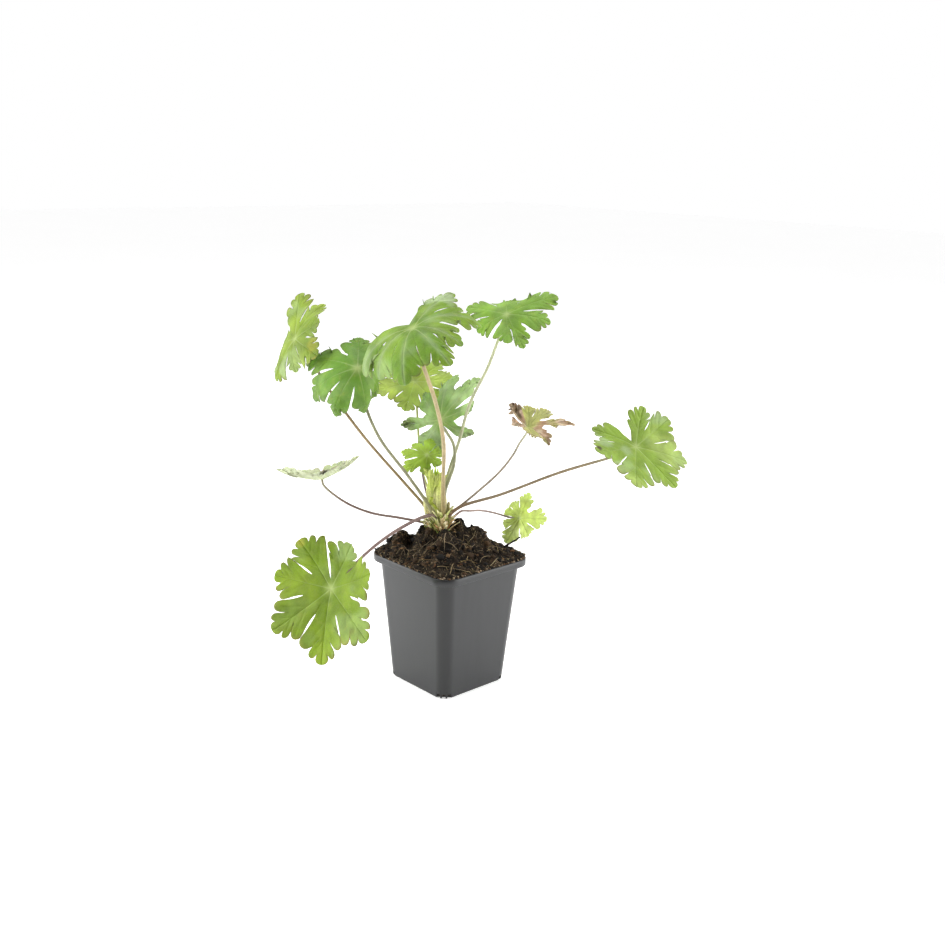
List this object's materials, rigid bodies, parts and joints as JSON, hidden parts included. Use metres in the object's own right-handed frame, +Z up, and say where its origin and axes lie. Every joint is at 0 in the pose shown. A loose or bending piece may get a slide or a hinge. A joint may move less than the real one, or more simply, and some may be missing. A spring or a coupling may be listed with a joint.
{
  "type": "potted hardy geranium",
  "caption": "Young hardy geranium with lobed, toothed leaves on long thin stalks, rising from one crown in a square tapered nursery pot filled with compost.",
  "frame": {"origin": "centre of the pot's underside", "axes": "+Z up along the pot's middle; X and Y square to the pot's sides"},
  "size_m": [0.2608, 0.2827, 0.2975],
  "materials": {
    "pot": "dark slate grey, smooth, slight sheen",
    "soil": "dark fibrous compost",
    "crown": "papery yellow-green and brown scales",
    "twig": "black, rough",
    "stalk": "green to maroon, finely hairy",
    "blade": "fresh green, softly hairy, pale veins"
  },
  "bodies": {
    "root": {"pot": "pot", "soil": "soil", "crown": "crown", "twig": "twig", "leaf_01_stalk": "stalk", "leaf_01_blade": "blade", "leaf_02_stalk": "stalk", "leaf_02_blade": "blade", "leaf_03_stalk": "stalk", "leaf_03_blade": "blade", "leaf_04_stalk": "stalk", "leaf_04_blade": "blade", "leaf_05_stalk": "stalk", "leaf_05_blade": "blade", "leaf_06_stalk": "stalk", "leaf_06_blade": "blade", "leaf_07_stalk": "stalk", "leaf_07_blade": "blade", "leaf_08_stalk": "stalk", "leaf_08_blade": "blade", "leaf_09_stalk": "stalk", "leaf_09_blade": "blade", "leaf_10_stalk": "stalk", "leaf_10_blade": "blade", "leaf_11_stalk": "stalk", "leaf_11_blade": "blade", "leaf_12_stalk": "stalk", "leaf_12_blade": "blade", "leaf_13_stalk": "stalk", "leaf_13_blade": "blade"}
  },
  "joints": []
}
